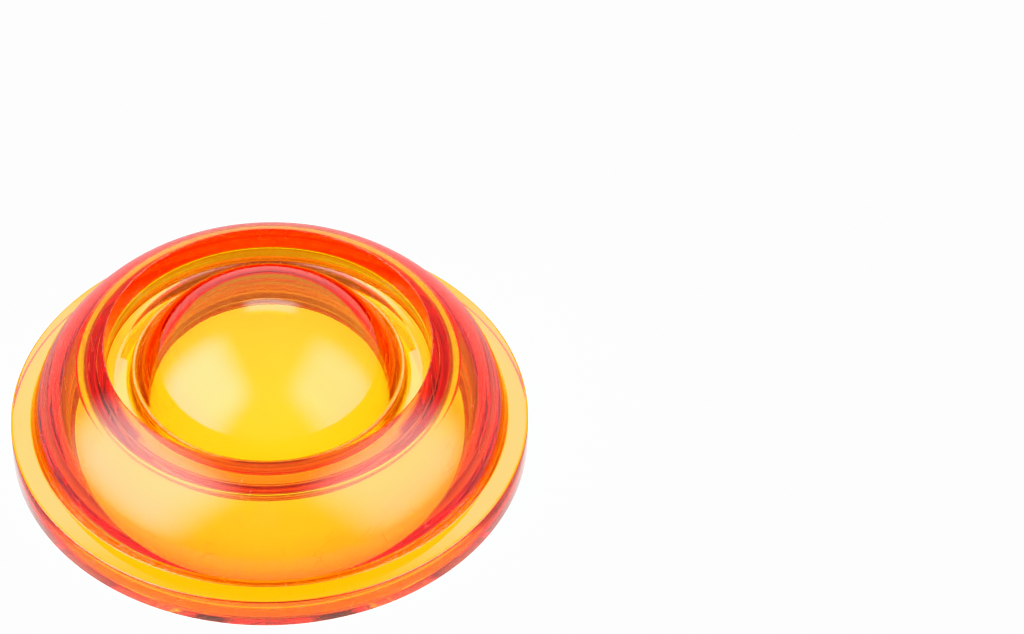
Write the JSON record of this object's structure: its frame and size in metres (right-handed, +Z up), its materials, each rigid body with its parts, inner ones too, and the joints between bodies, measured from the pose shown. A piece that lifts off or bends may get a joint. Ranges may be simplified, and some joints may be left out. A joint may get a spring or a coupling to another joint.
{
  "type": "raised road marker",
  "caption": "Round amber see-through marker with a flat rim, a domed shoulder and a bullseye dome standing in a recessed crown.",
  "frame": {"origin": "centre of the flat underside, on the road surface", "axes": "+Z up through the dome; the part is a body of revolution about Z"},
  "size_m": [0.1, 0.1, 0.036],
  "materials": {
    "amber_acrylic": "polished, transparent amber",
    "clear_adhesive": "clear, cured adhesive",
    "reflective_sheet": "translucent white prismatic reflector sheet",
    "white_plate": "moulded opal white, translucent, fine matt texture"
  },
  "bodies": {
    "root": {"lens_shell": "amber_acrylic", "bullseye_lens": "amber_acrylic", "lens_bond": "clear_adhesive", "base_seal": "clear_adhesive", "reflector_sheet": "reflective_sheet", "base_plate": "white_plate"}
  },
  "joints": []
}
